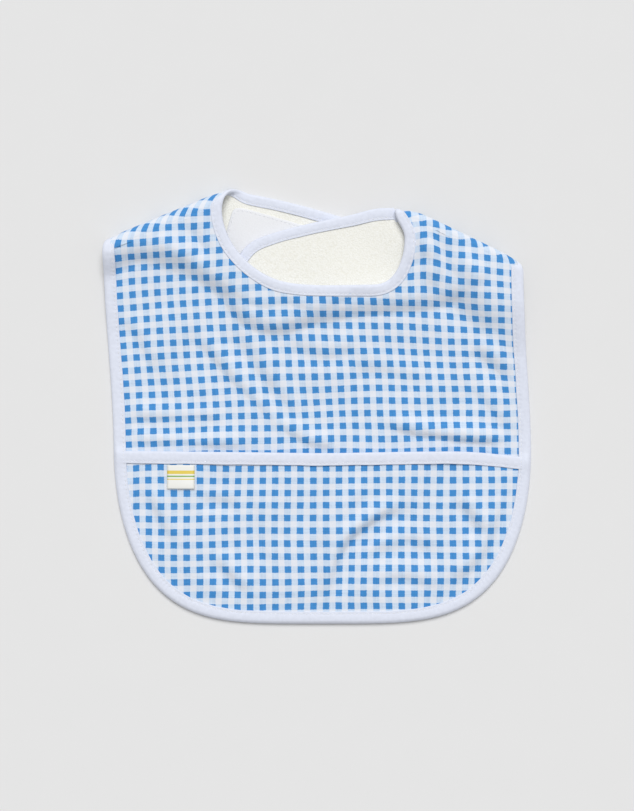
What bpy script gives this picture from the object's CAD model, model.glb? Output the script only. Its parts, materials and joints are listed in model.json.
"""A gingham baby bib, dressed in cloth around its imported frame.

Lengths in the code are millimetres in the row frame; meshes are written in metres.
"""

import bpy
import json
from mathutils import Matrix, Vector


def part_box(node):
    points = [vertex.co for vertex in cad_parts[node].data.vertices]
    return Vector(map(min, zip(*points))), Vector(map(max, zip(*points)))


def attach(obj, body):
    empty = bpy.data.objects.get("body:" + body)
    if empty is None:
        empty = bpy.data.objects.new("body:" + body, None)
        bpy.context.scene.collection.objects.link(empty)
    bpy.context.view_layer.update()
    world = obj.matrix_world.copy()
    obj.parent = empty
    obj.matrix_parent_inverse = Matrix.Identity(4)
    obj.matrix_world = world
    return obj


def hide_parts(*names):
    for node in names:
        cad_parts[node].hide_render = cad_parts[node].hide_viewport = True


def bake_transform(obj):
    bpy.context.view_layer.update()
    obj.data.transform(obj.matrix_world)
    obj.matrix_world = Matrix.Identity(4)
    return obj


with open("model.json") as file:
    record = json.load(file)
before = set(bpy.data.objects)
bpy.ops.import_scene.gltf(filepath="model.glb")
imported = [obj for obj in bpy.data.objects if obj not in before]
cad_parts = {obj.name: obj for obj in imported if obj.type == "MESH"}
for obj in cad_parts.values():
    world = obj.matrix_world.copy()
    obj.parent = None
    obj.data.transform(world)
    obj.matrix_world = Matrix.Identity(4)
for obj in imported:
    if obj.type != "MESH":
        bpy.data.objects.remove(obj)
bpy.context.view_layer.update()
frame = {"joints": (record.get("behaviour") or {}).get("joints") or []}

import json
import math

import bmesh
import bpy
import numpy as np
from bpy.props import FloatProperty, FloatVectorProperty, PointerProperty

bl_info = {
    "name": "Gingham baby bib",
    "version": (1, 0, 0),
    "blender": (4, 5, 0),
    "location": "View3D > Sidebar > Bib",
    "description": "Dresses a bib's frame in gingham, terry, binding tape and stitches",
    "category": "Object",
}

MM = 0.001
WIDTH, LENGTH = 264.6, 275.3
TOP, BOTTOM = LENGTH / 2, -LENGTH / 2
HEM_ROUND, HEM_ACROSS, HEM_DOWN = 112.6, 4.2, 2.1
SLIP, SLIP_FROM, SLIP_TO = 3.0, -30.0, 90.0
TURN, TURN_SPAN = 0.028, 230.0
NECK_LEFT, NECK_RIGHT, NECK_BOTTOM = -60.3, 54.7, TOP - 61.0
LIFT = 10.0
MID = 2.0
STRAP_WIDTH, STRAP_REACH = 54.0, 87.0
STRAP_ANGLE = {"left": math.radians(-16.0), "right": math.radians(191.4)}
STRAP_LEAD, STRAP_TIP, STRAP_BEND = math.radians(6.0), math.radians(8.0), 40.0
SLANT = {"left": (16.0, 8.0), "right": (0.0, -8.0)}
POCKET_TOP = BOTTOM + 106.9
EDGE_HIDDEN = 2.6
OVERLAP = 3

# Where a coloured square is centred, in the cloth's own coordinates, on the front and on the pocket
GINGHAM_AT = (-2.58, 3.1)
POCKET_GINGHAM_AT = (2.3, 0.94)

# Layers, as distances from the middle of the sandwich towards the gingham side
SHELL, SHELL_THICK = 0.95, 0.5
BARRIER, BARRIER_THICK = 0.25, 0.2
LINING, LINING_THICK = -0.7, 1.0


def linear(hex_colour):
    """An sRGB hex colour as linear red, green, blue."""
    channels = [int(hex_colour[i : i + 2], 16) / 255 for i in (1, 3, 5)]
    return tuple(c / 12.92 if c <= 0.04045 else ((c + 0.055) / 1.055) ** 2.4 for c in channels)


def length(name, text, value, low, high):
    """A length that a user may change, given in millimetres and kept in metres."""
    limits = {"default": value * MM, "min": low * MM, "max": high * MM}
    return FloatProperty(
        name=name, description=text, precision=5, subtype="DISTANCE", unit="LENGTH", **limits
    )


def factor(name, text, value, low, high):
    """A plain number that a user may change."""
    return FloatProperty(
        name=name, description=text, default=value, min=low, max=high, subtype="FACTOR"
    )


def colour(name, text, value):
    """A colour that a user may change, given as sRGB hex."""
    return FloatVectorProperty(
        name=name, description=text, default=linear(value), size=3, min=0, max=1, subtype="COLOR"
    )


class BibSizes(bpy.types.PropertyGroup):
    """Lengths and shares that shape the cloth."""

    repeat: length("Check repeat", "Width of one repeat of the gingham", 8.0, 3.0, 30.0)
    band: factor("Band share", "Share of the repeat that a coloured band takes", 0.52, 0.2, 0.7)
    hem_tape: length("Hem tape", "Width of the hem's binding tape", 7.9, 5.0, 12.0)
    neck_tape: length("Neck tape", "Width of the neck's and straps' tape", 7.0, 5.0, 12.0)
    stitch: length("Stitch spacing", "Distance from stitch to stitch", 2.8, 1.5, 5.0)
    relief: factor("Crease depth", "Scale of the creases", 1.55, 0.0, 2.0)
    grid: length("Cloth grid", "Distance between the cloth's points", 1.8, 1.2, 5.0)


class BibColours(bpy.types.PropertyGroup):
    """Colours of the cloths and threads."""

    ground: colour("Ground", "Undyed ground of the gingham", "#e9edf6")
    band: colour("Single band", "Where one coloured band crosses the ground", "#cfe0f6")
    square: colour("Square", "Where two coloured bands cross", "#3b8dd3")
    tape: colour("Tape", "Binding tape", "#e4e9f7")
    terry: colour("Terry", "Terry lining", "#f9f9f4")
    thread: colour("Thread", "Sewing thread", "#f4f6fb")
    patch: colour("Patch", "Loop and hook patches", "#eff0f3")
    satin: colour("Satin", "Label ribbon", "#f3f3ee")
    floor: colour("Floor", "Floor under the bib", "#e7e7e7")


def mm(key):
    """One of the user's lengths, in millimetres."""
    return round(getattr(bpy.context.scene.bib_sizes, key) / MM, 4)


def unit(v):
    """Vectors scaled to length one."""
    return v / np.maximum(np.linalg.norm(v, axis=-1, keepdims=True), 1e-9)


# ---------------------------------------------------------------- plan shapes


def joint(name):
    return next(j for j in frame["joints"] if j["name"] == name)


HEM_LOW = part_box("hem_binding")[0] / MM
POCKET_AT = joint("pocket_gape")["pos_m"]
SHIFT = np.array([POCKET_AT[0] / MM, HEM_LOW.y - BOTTOM])


def smooth(t):
    """0 to 1 with level ends."""
    t = np.clip(t, 0.0, 1.0)
    return t * t * (3 - 2 * t)


def lay(points):
    """Even-pattern points moved to where the cloth lies: slid sideways near the top and turned a little."""
    p = np.asarray(points, float)
    x, y = p[..., 0], p[..., 1]
    slip = SLIP * (1 - 2 * smooth((y - SLIP_FROM) / (SLIP_TO - SLIP_FROM)))
    turned = y - TURN * (y - BOTTOM) / TURN_SPAN * x
    return np.stack([x + slip, turned], -1) + SHIFT


def pattern_at(x, y):
    """The cloth's own coordinates under a laid point: columns by undoing the slide, rows by undoing a
    tilt and a bow that change from the pocket to the shoulders."""
    x, y = x - SHIFT[0], y - SHIFT[1]
    slip = SLIP * (1 - 2 * smooth((y - SLIP_FROM) / (SLIP_TO - SLIP_FROM)))
    tilt = np.interp(y, [-80, 0, 80], [0.0038, 0.0215, -0.011])
    bow = np.interp(y, [-80, 0, 80], [0.0, 0.00013, 0.00042])
    lift = 3.4 * np.exp(-(((x - 69) / 10) ** 2)) * smooth((124 - y) / 14) * smooth((y - 72) / 20)
    return x - slip, y - tilt * x + bow * x * x - lift


class Shoulder:
    """One shoulder turn, read from its joint: the centre line, its height and the mid-cloth radius."""

    def __init__(self, side, joint_name):
        j = joint(joint_name)
        self.side = side
        self.body = j["child"]
        self.along = np.array(j["axis"][:2]) / np.linalg.norm(j["axis"][:2])
        self.out = np.array([-self.along[1], self.along[0]])
        self.height = j["pos_m"][2] / MM
        self.radius = LIFT + MID - self.height
        self.level = self.height - self.radius - MID
        self.neck = np.array(j["pos_m"][:2]) / MM - self.out * 0.75 * self.radius
        edge = lay([-WIDTH / 2 if side == "left" else WIDTH / 2, SLIP_TO])[0]
        self.run = (edge - self.neck[0]) / self.along[0]
        self.strap_neck = self.neck + self.along * self.slant(0.0)
        self.strap_hem = self.neck + self.along * (self.run + self.slant(self.run))

    def slant(self, run):
        """How far along the turn a point at this run has moved once it reaches the strap."""
        near, far = SLANT[self.side]
        return near + (far - near) * np.clip(run / self.run, 0.0, 1.0)

    def beyond(self, x, y):
        """Signed distance past the turn's centre line, outwards."""
        return (x - self.neck[0]) * self.out[0] + (y - self.neck[1]) * self.out[1]


LEFT = Shoulder("left", "left_strap_fold")
RIGHT = Shoulder("right", "right_strap_settle")


def inside_turns(x, y):
    """How far a point lies on the inner side of the nearer shoulder turn."""
    return np.minimum(-LEFT.beyond(x, y), -RIGHT.beyond(x, y))


def bezier(a, b, c, d, steps=40):
    """Cubic curve through a and d pulled by b and c, without its last point."""
    t = np.arange(steps)[:, None] / steps
    s = 1 - t
    a, b, c, d = (np.asarray(p, float) for p in (a, b, c, d))
    return a * s**3 + 3 * b * s * s * t + 3 * c * s * t * t + d * t**3


def even_steps(path, step):
    """A path resampled at even distances."""
    gaps = np.linalg.norm(np.diff(path, axis=0), axis=1)
    path = path[np.r_[True, gaps > 1e-6]]
    run = np.r_[0, np.cumsum(np.linalg.norm(np.diff(path, axis=0), axis=1))]
    at = np.linspace(0, run[-1], max(2, round(run[-1] / step) + 1))
    return np.stack([np.interp(at, run, path[:, k]) for k in range(path.shape[1])], -1)


def eased(path, rounds=6):
    """A path whose inner points are averaged with their neighbours, ends kept."""
    path = path.copy()
    for _ in range(rounds):
        path[1:-1] = path[1:-1] * 0.5 + (path[:-2] + path[2:]) * 0.25
    return path


def clipped(path, fold):
    """The part of a path on the inner side of a turn's centre line, its end set on that line."""
    d = fold.beyond(path[:, 0], path[:, 1])
    inside = np.nonzero(d < 0)[0]
    first, last = inside[0], inside[-1]
    kept = path[first : last + 1]
    for end, step in ((first, -1), (last, 1)):
        k = end + step
        if 0 <= k < len(path):
            t = d[end] / (d[end] - d[k])
            cut = path[end] + (path[k] - path[end]) * t
            kept = np.vstack([cut, kept]) if step < 0 else np.vstack([kept, cut])
    return kept


def hem_path():
    """The hem in plan, a superellipse below and straight sides above, left turn round to right turn."""
    half, start = WIDTH / 2, BOTTOM + HEM_ROUND
    angle = np.pi + np.pi * np.linspace(0, 1, 241)
    across = np.sign(np.cos(angle)) * np.abs(np.cos(angle)) ** (2 / HEM_ACROSS)
    down = np.abs(np.sin(angle)) ** (2 / HEM_DOWN)
    lower = np.stack([half * across, start - HEM_ROUND * down], -1)
    side = np.linspace(TOP, start, 60)[:-1]
    left = np.stack([np.full_like(side, -half), side], -1)
    right = np.stack([np.full_like(side, half), side[::-1]], -1)
    path = even_steps(lay(np.vstack([left, lower, right])), 1.5)
    return clipped(clipped(path, LEFT), RIGHT)


def neck_path():
    """The front's neck edge in plan, from the right turn round to the left turn."""
    width = NECK_RIGHT - NECK_LEFT
    side = np.array([NECK_RIGHT, NECK_BOTTOM + 29])
    foot = np.array([NECK_LEFT + 0.84 * width, NECK_BOTTOM])
    heel = np.array([NECK_LEFT + 0.325 * width, NECK_BOTTOM + 2.2])
    far = np.array([NECK_LEFT, NECK_BOTTOM + 48])
    start, end = RIGHT.neck - SHIFT, LEFT.neck - SHIFT
    parts = [
        bezier(start, start + (2, -5), side + (0, 7), side),
        bezier(side, side - (0, 14), foot + (12, 0), foot),
        bezier(foot, foot - (18, 0), heel + (15, -4), heel),
        bezier(heel, heel + (-21, 6), far - (0, 20), far),
        bezier(far, far + (0, 2), end - (0.4, 2), end),
        end[None],
    ]
    return eased(even_steps(np.vstack(parts) + SHIFT, 1.2), 8)


def strap_path(fold):
    """A folded strap's bound edge in plan: neck side, half-round tip and hem side."""
    turn = -1 if fold.side == "left" else 1
    angle = STRAP_ANGLE[fold.side]

    def heading(a):
        return np.array([math.cos(a), math.sin(a)])

    lead, ahead = heading(angle - turn * STRAP_LEAD), heading(angle + turn * STRAP_TIP)
    down = np.array([-ahead[1], ahead[0]]) * turn
    radius, pull = STRAP_WIDTH / 2, STRAP_REACH * 0.3
    start = fold.strap_neck
    tip = start + heading(angle) * STRAP_REACH
    swing = np.pi * np.arange(40)[:, None] / 40
    round_tip = tip + down * radius * (1 - np.cos(swing)) + ahead * radius * np.sin(swing)
    far, hem = tip + down * STRAP_WIDTH, fold.strap_hem
    lead_in = np.array([0.0, 1.0]) - 2 * fold.out[1] * fold.out
    parts = [
        bezier(start, start + lead * pull, tip - ahead * pull, tip),
        round_tip,
        bezier(far, far - ahead * 55, hem + lead_in * STRAP_BEND, hem),
        hem[None],
    ]
    return eased(even_steps(np.vstack(parts), 1.2), 6)


def inside(x, y, polygon):
    """True where a point lies inside a polygon, by the even-odd rule."""
    found = np.zeros(x.shape, bool)
    for (ax, ay), (bx, by) in zip(polygon, np.roll(polygon, -1, 0)):
        if ay == by:
            continue
        crosses = (ay > y) != (by > y)
        found ^= crosses & (x < ax + (y - ay) * (bx - ax) / (by - ay))
    return found


def distance(x, y, path):
    """Shortest distance to a path, with its sign (positive to the path's left) and the share run."""
    best = np.full(x.shape, 1e9)
    sign, share = np.zeros(x.shape), np.zeros(x.shape)
    path = np.asarray(path, float)
    gaps = np.linalg.norm(np.diff(path, axis=0), axis=1)
    run = np.r_[0, np.cumsum(gaps)]
    for i, (a, b) in enumerate(zip(path[:-1], path[1:])):
        d = b - a
        t = np.clip(((x - a[0]) * d[0] + (y - a[1]) * d[1]) / max(d @ d, 1e-9), 0, 1)
        ex, ey = x - a[0] - t * d[0], y - a[1] - t * d[1]
        far = np.hypot(ex, ey)
        near = far < best
        best = np.where(near, far, best)
        sign = np.where(near, np.sign(d[0] * ey - d[1] * ex), sign)
        share = np.where(near, (run[i] + t * gaps[i]) / run[-1], share)
    return best, sign, share


# ---------------------------------------------------------------- relief

# The line where the front drops off the folded straps' lower edges
DROP_LINE = [
    (-136, 101), (-117, 99), (-100, 94), (-78, 86), (-62, 75), (-43, 61), (-30, 58), (-20, 63), (-1, 55),
    (18, 64), (37, 71), (53, 80), (64, 88), (75, 88), (88, 75), (104, 60), (123, 50), (136, 45),
]

# Slopes as (height, half width, points): cloth steps down across the line towards the hem, from a
# swell above it to a hollow below it
SLOPES = [
    (1.1, 9.0, [(72, 92), (78, 82), (88, 70), (104, 57), (123, 48)]),
    (1.2, 5.0, [(98, 38), (112, 27), (124, 18)]),
    (2.1, 5.0, [(37, -12), (62, -19), (96, -23), (126, -25)]),
    (1.3, 4.5, [(-26, -10), (-8, -25), (14, -28)]),
    (0.9, 4.0, [(-124, -7), (-90, -9), (-56, -8)]),
    (0.9, 4.0, [(-125, -24), (-90, -25), (-40, -26)]),
    (1.2, 4.8, [(-80, 48), (-62, 26), (-49, 10), (-22, -17)]),
    (0.8, 5.0, [(-52, 50), (-30, 15), (-8, -14)]),
    (0.8, 5.0, [(98, 12), (113, -6), (123, -18)]),
    (0.7, 6.0, [(18, 28), (45, 20), (72, 15)]),
    (0.8, 5.0, [(-126, 56), (-112, 42), (-104, 22)]),
    (0.7, 5.0, [(-20, 40), (4, 32), (30, 38)]),
]

# Ridges and valleys as (height, half width, points)
RIDGES = [
    (1.7, 5.0, [(57, 123), (66, 112), (71, 98), (75, 91), (73, 80), (71, 72)]),
    (-1.2, 5.5, [(66, 118), (78, 102), (82, 89), (86, 76)]),
    (1.4, 5.0, [(92, 104), (96, 90), (104, 76)]),
    (-1.2, 4.0, [(-86, 117), (-77, 105), (-66, 92)]),
    (1.2, 5.0, [(-104, 112), (-92, 100), (-78, 92)]),
    (1.0, 8.0, [(-100, 66), (-98, 40), (-92, 10)]),
]

POCKET_SLOPES = [
    (2.3, 4.8, [(56, -62), (37, -73), (21, -84), (13, -98), (8, -122)]),
    (1.1, 4.5, [(-108, -54), (-98, -74), (-92, -88)]),
    (0.6, 4.0, [(-74, -58), (-50, -61)]),
    (1.1, 4.5, [(-66, -96), (-56, -106), (-44, -119)]),
    (1.2, 4.5, [(89, -58), (98, -70), (106, -82)]),
    (1.9, 5.2, [(120, -56), (115, -78), (108, -94), (86, -116)]),
    (0.7, 5.0, [(28, -94), (54, -86), (80, -90)]),
    (0.7, 4.5, [(34, -112), (56, -108), (78, -114)]),
    (0.9, 4.0, [(-118, -84), (-102, -106), (-84, -119)]),
    (0.5, 5.0, [(-40, -50), (-36, -76), (-30, -104)]),
]

POCKET_RIDGES = [
    (1.2, 7.0, [(34, -44), (16, -66), (0, -92)]),
    (-0.8, 5.0, [(62, -60), (56, -76), (60, -96)]),
]


def strokes(x, y, slopes, ridges):
    """The sum of slopes and ridges, fading at their ends: a ridge is a bell across its line, a slope the
    difference of a swell above and a hollow below, distance times a bell."""
    total = np.zeros(x.shape)
    for odd, group in ((True, slopes), (False, ridges)):
        for height, width, points in group:
            line = eased(even_steps(np.array(points, float), 4.0), 3)
            far, side, share = distance(x, y, line)
            fade = smooth(share / 0.28 + 0.1) * smooth((1 - share) / 0.28 + 0.1)
            t = far / width
            if odd:
                across = line[-1] - line[0]
                up = 1.0 if across[0] > 0 or (across[0] == 0 and across[1] < 0) else -1.0
                total += height * fade * side * up * t * np.exp(0.5 - 0.5 * t * t)
            else:
                total += height * fade * np.exp(-t * t)
    return total


def ripple(x, y, wave, seed):
    """A smooth even unrest: seven sines of nearby wavelengths in fixed directions."""
    draw = np.random.default_rng(seed)
    total = np.zeros(x.shape)
    for _ in range(7):
        a, k = draw.uniform(0, np.pi), 2 * np.pi / (wave * draw.uniform(0.7, 1.4))
        p = draw.uniform(0, 7)
        total += np.sin(k * (x * math.cos(a) + y * math.sin(a)) + p)
    return total / 3.0


HEM = hem_path()
NECK = neck_path()
STRAP = {"left": strap_path(LEFT), "right": strap_path(RIGHT)}
STEP = 1.0
AXIS_X, AXIS_Y = np.arange(-150, 150.5, STEP), np.arange(-150, 150.5, STEP)


def raster(function):
    """A function of x and y worked out on the millimetre raster."""
    x, y = np.meshgrid(AXIS_X, AXIS_Y)
    return function(x, y)


def sampled(field, x, y):
    """A raster read between its points, bilinearly."""
    fx = np.clip((x - AXIS_X[0]) / STEP, 0, len(AXIS_X) - 1.001)
    fy = np.clip((y - AXIS_Y[0]) / STEP, 0, len(AXIS_Y) - 1.001)
    i, j = fy.astype(int), fx.astype(int)
    ty, tx = fy - i, fx - j
    top = field[i, j] * (1 - tx) + field[i, j + 1] * tx
    low = field[i + 1, j] * (1 - tx) + field[i + 1, j + 1] * tx
    return top * (1 - ty) + low * ty


def front_field(x, y):
    """Middle of the front's sandwich: a steep step down along the drop line and a long gentle slope after
    it, held up wherever a folded strap lies below, with creases that fade out at every edge."""
    line = np.array(DROP_LINE, float)
    drop = sum(np.interp(x + d, line[:, 0], line[:, 1]) for d in (-6, -3, 0, 3, 6)) / 5
    wide = np.interp(x, [-110, -60, 40, 75, 110], [17, 15, 15, 30, 40])
    steep, gentle = smooth((y - drop) / wide + 0.5), smooth((y - drop + 70) / 72)
    base = LIFT * (0.66 * steep + 0.34 * gentle)
    for side, level, slope in (("left", 3.3, 10), ("right", 8.4, 16)):
        rim = distance(x, y, np.vstack([STRAP[side], STRAP[side][:1]])[::3])[0]
        depth = np.where(inside(x, y, STRAP[side]), rim, -rim)
        base = np.maximum(base, level * smooth((depth + slope) / (slope + 1)))
    hem = distance(x, y, HEM[::4])[0]
    neck = distance(x, y, NECK[::3])[0]
    turns = inside_turns(x, y)
    fade = smooth(hem / 22) * smooth(turns / 14) * smooth((neck + 2) / 13)
    low = smooth((y - POCKET_TOP + 18) / 14)
    relief = strokes(x, y, SLOPES, RIDGES) + 0.3 * ripple(x, y, 46, 3)
    relief = relief * bpy.context.scene.bib_sizes.relief * fade * low
    floor = np.maximum(base + relief, -0.15)
    level_out = smooth(1 - turns / 16) * (LIFT - base)
    return MID + floor + level_out


FIELDS = {}


def front_z(x, y):
    if "front" not in FIELDS:
        FIELDS["front"] = raster(front_field)
    return sampled(FIELDS["front"], x, y)


def mouth_y(x):
    """The pocket's upper edge in plan, sagging and lifting a little across the bib."""
    at = [-136, -100, -40, 5, 60, 95, 118, 136]
    level = [-29.6, -29.9, -30.6, -31.2, -30.2, -29.9, -32.2, -34.4]
    near = sum(np.interp(x + d, at, level) for d in (-12, -6, 0, 6, 12)) / 5
    return near + SHIFT[1] + 1.7


def pocket_field(x, y):
    """The pocket's cloth: level with its seam at the hem, standing off the front towards its mouth."""
    hem = distance(x, y, HEM[::4])[0]
    edge = smooth((hem - 7.0) / 18)
    stand = 1.2 * smooth((y + 100) / 70) * smooth((hem - 6) / 45)
    relief = strokes(x, y, POCKET_SLOPES, POCKET_RIDGES) + 0.3 * ripple(x, y, 40, 11)
    relief *= bpy.context.scene.bib_sizes.relief
    raised = 3.55 + stand + edge * (1.5 + relief)
    return np.maximum(raised, 3.55 + 0.25 * edge)


def pocket_z(x, y):
    if "pocket" not in FIELDS:
        FIELDS["pocket"] = raster(pocket_field)
    return sampled(FIELDS["pocket"], x, y)


# ---------------------------------------------------------------- meshes


def settled(points):
    """The right end of the neck eased into a round corner, growing over the last 20 mm: the rolled tape let
    down from its inner edge on, the crest beside it lifted by a bell, and a slide inwards by another."""
    x, y, z = points.T
    near = smooth((y - 105) / 19)
    bells = ((52.4, 7.0), (38, 14), (57, 8))
    proud, beside, slide = (np.exp(-(((x - at) / wide) ** 2)) for at, wide in bells)
    proud *= smooth((x - 49.2) / 1.8)
    return np.column_stack([x - 2.8 * near * slide, y + near * (2.2 * beside - 3.2 * proud), z])


def add_mesh(name, points, faces, uv=None, kind=None, smooth_shaded=True):
    """A mesh object from points in millimetres, faces and per-point cloth coordinates in millimetres."""
    used = np.unique(faces)
    remap = np.full(len(points), -1)
    remap[used] = np.arange(len(used))
    faces, points = remap[faces], settled(points[used])
    mesh = bpy.data.meshes.new(name)
    count = faces.shape[1]
    mesh.vertices.add(len(points))
    mesh.vertices.foreach_set("co", (points * MM).astype(np.float32).ravel())
    mesh.loops.add(faces.size)
    mesh.loops.foreach_set("vertex_index", faces.astype(np.int32).ravel())
    mesh.polygons.add(len(faces))
    mesh.polygons.foreach_set("loop_start", np.arange(0, faces.size, count, dtype=np.int32))
    if uv is not None:
        layer = mesh.uv_layers.new(name="Cloth")
        layer.data.foreach_set("uv", uv[used][faces].astype(np.float32).ravel())
    mesh.update(calc_edges=True)
    mesh.validate()
    if smooth_shaded:
        mesh.polygons.foreach_set("use_smooth", np.ones(len(mesh.polygons), bool))
    made = bpy.data.objects.new(name, mesh)
    bpy.context.scene.collection.objects.link(made)
    if kind is not None:
        mesh.materials.append(kind)
    return made


def thicken(made, thick):
    """Gives a sheet its thickness, evenly to both sides."""
    solid = made.modifiers.new("Thickness", "SOLIDIFY")
    solid.thickness, solid.offset = thick * MM, 0.0
    solid.use_even_offset = False


def grid_quads(keep, snapped=None):
    """Quads of a grid whose four points are all kept and not all snapped to one line, rows upwards."""
    rows, cols = keep.shape
    at = np.arange(rows * cols).reshape(rows, cols)
    good = keep[:-1, :-1] & keep[:-1, 1:] & keep[1:, 1:] & keep[1:, :-1]
    if snapped is not None:
        good &= ~(snapped[:-1, :-1] & snapped[:-1, 1:] & snapped[1:, 1:] & snapped[1:, :-1])
    corners = at[:-1, :-1], at[:-1, 1:], at[1:, 1:], at[1:, :-1]
    return np.stack([c[good] for c in corners], -1)


def normals_of(points):
    """Unit normals of a grid of points, from its neighbours' differences."""
    across, up = np.gradient(points, axis=1), np.gradient(points, axis=0)
    return unit(np.cross(across, up))


def relaxed(uv, points, free, rounds=90):
    """Cloth coordinates eased until each grid edge is as long in the cloth as it is in space."""
    start, uv = uv, uv.copy()
    wide = np.linalg.norm(np.diff(points, axis=1), axis=-1)
    tall = np.linalg.norm(np.diff(points, axis=0), axis=-1)
    for _ in range(rounds):
        move = np.zeros_like(uv)
        for axis, rest in ((1, wide), (0, tall)):
            d = np.diff(uv, axis=axis)
            length = np.maximum(np.linalg.norm(d, axis=-1), 1e-6)
            pull = d * ((rest - length) / length)[..., None] * 0.22
            if axis == 1:
                move[:, :-1] -= pull
                move[:, 1:] += pull
            else:
                move[:-1] -= pull
                move[1:] += pull
        uv += move * free[..., None]
    moved = uv - start
    for axis in (0, 1, 0, 1):
        moved = moved * 0.5 + (np.roll(moved, 1, axis) + np.roll(moved, -1, axis)) * 0.25
    return start + moved


def front_grid():
    """The front as a grid in plan: points snapped to the two turns, kept where the tapes hide the rim."""
    if "grid" in FIELDS:
        return FIELDS["grid"]
    step = mm("grid")
    x, y = np.meshgrid(np.arange(-138, 138.1, step), np.arange(-140, 140.1, step))
    x, y = x.copy(), y.copy()
    beyond, snapped = np.zeros(x.shape, bool), np.zeros(x.shape, bool)
    for fold in (LEFT, RIGHT):
        d = fold.beyond(x, y)
        snap = (d > -0.35 * step) & (d < 1.45 * step)
        snapped |= snap
        x -= np.where(snap, d * fold.out[0], 0)
        y -= np.where(snap, d * fold.out[1], 0)
        beyond |= d >= 1.45 * step
    outline = np.vstack([HEM, NECK])
    hem = distance(x, y, HEM[::2])[0]
    neck = distance(x, y, NECK[::2])[0]
    keep = inside(x, y, outline) | on_turn(x, y)
    keep &= (hem > EDGE_HIDDEN) & (neck > EDGE_HIDDEN) & ~beyond
    middle = np.stack([x, y, front_z(x, y)], -1)
    u, v = pattern_at(x, y)
    free = smooth((hem - 8) / 10) * smooth((neck - 8) / 8)
    turns = inside_turns(x, y)
    free *= smooth((turns - 3) / 10)
    unrest = np.stack([ripple(x, y, 55, 21), ripple(x, y, 55, 22)], -1) * 0.5
    uv = relaxed(np.stack([u, v], -1) + unrest * free[..., None], middle, free)
    FIELDS["grid"] = middle, uv, grid_quads(keep, snapped)
    return FIELDS["grid"]


def on_turn(x, y):
    """True for points on a turn's centre line between its neck end and its hem end."""
    found = np.zeros(x.shape, bool)
    for fold in (LEFT, RIGHT):
        run = ((x - fold.neck[0]) * fold.along[0] + (y - fold.neck[1]) * fold.along[1]) / fold.run
        found |= (np.abs(fold.beyond(x, y)) < 0.01) & (run > 0) & (run < 1)
    return found


def front_sheet(name, offset, thick, kind):
    """One cloth of the front: the sandwich's middle moved along its normal."""
    middle, uv, quads = front_grid()
    n = normals_of(middle)
    turns = inside_turns(middle[..., 0], middle[..., 1])
    flat = smooth(1 - turns / 6)[..., None]
    n = unit(n * (1 - flat) + np.array([0, 0, 1.0]) * flat)
    points = (middle + n * offset).reshape(-1, 3)
    made = add_mesh(name, points, quads, uv.reshape(-1, 2), kind)
    thicken(made, thick)
    return made


def sag(fold, x, y):
    """How far a strap lies off its level: soft waves away from its turn and, on the right strap, a round
    hollow beside the neck."""
    away = np.maximum(-fold.beyond(x, y), 0)
    low = 0.45 * ripple(x, y, 52, 31 if fold.side == "left" else 32) * smooth(away / 25)
    if fold.side == "right":
        low = low - 1.8 * np.exp(-((x - 56) ** 2 + (y - 83) ** 2) / 15**2) * smooth(away / 20)
    return low


def strap_surface(fold, run, s, offset):
    """A strap's cloth at (run along the turn, distance s across it): half a cylinder of the turn's
    radius for the first half circle, then level, with the strap's soft waves."""
    half = math.pi * fold.radius
    angle = np.clip(s / half, 0, 1) * np.pi
    inward = np.maximum(s - half, 0)
    radius = fold.radius + offset
    puff = 0.9 * np.sin(angle) * smooth(run / fold.run * 5) * smooth((1 - run / fold.run) * 5)
    before = np.minimum(s, 0)
    reach = np.sin(angle) * (radius + puff) - inward + before
    share = angle / np.pi
    along = run + fold.slant(run) * (0.7 * share + 0.3 * smooth(share))
    x = fold.neck[0] + fold.along[0] * along + fold.out[0] * reach
    y = fold.neck[1] + fold.along[1] * along + fold.out[1] * reach
    tucked = 0.04 * np.clip(-before / 0.2, 0, 1)
    z = fold.height + np.cos(angle) * radius + sag(fold, x, y) * (inward > 0) - tucked
    return np.stack([x, y, z], -1)


def strap_sheet(name, fold, offset, thick, kind):
    """One cloth of a strap with its shoulder turn, trimmed under the tapes."""
    step = mm("grid")
    half = math.pi * fold.radius
    turn_rows = np.r_[-1.8, -0.2, 0, np.r_[0.01, np.linspace(0.05, 1, 18)] * half]
    rows = np.r_[turn_rows, half + np.arange(step, 125, step)]
    reach = np.sort([fold.run, 0.0])
    first, last = (reach[0] - 20, reach[1] + 90) if fold.side == "left" else (-110, reach[1] + 20)
    cols = np.arange(first, last, step)
    run, s = np.meshgrid(cols, rows)
    points = strap_surface(fold, run, s, offset)
    share = run / fold.run
    margin = EDGE_HIDDEN / abs(fold.run)
    in_turn = (share > margin) & (share < 1 - margin)
    outline = STRAP[fold.side]
    plan = strap_surface(fold, run, np.maximum(s, half), 0.0)
    rim = distance(plan[..., 0], plan[..., 1], outline[::2])[0]
    on_strap = inside(plan[..., 0], plan[..., 1], outline) & (rim > EDGE_HIDDEN)
    keep = np.where(s <= half + 0.01, in_turn, on_strap)
    plane_x = fold.neck[0] + fold.along[0] * run + fold.out[0] * s
    plane_y = fold.neck[1] + fold.along[1] * run + fold.out[1] * s
    uv = np.stack(pattern_at(plane_x, plane_y), -1)
    made = add_mesh(name, points.reshape(-1, 3), grid_quads(keep), uv.reshape(-1, 2), kind)
    thicken(made, thick)
    return made


def bend_strap(made):
    """Lets a piece turn from the front to the strap across the shoulder."""
    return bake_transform(made)


# ---------------------------------------------------------------- tapes and stitches


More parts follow.
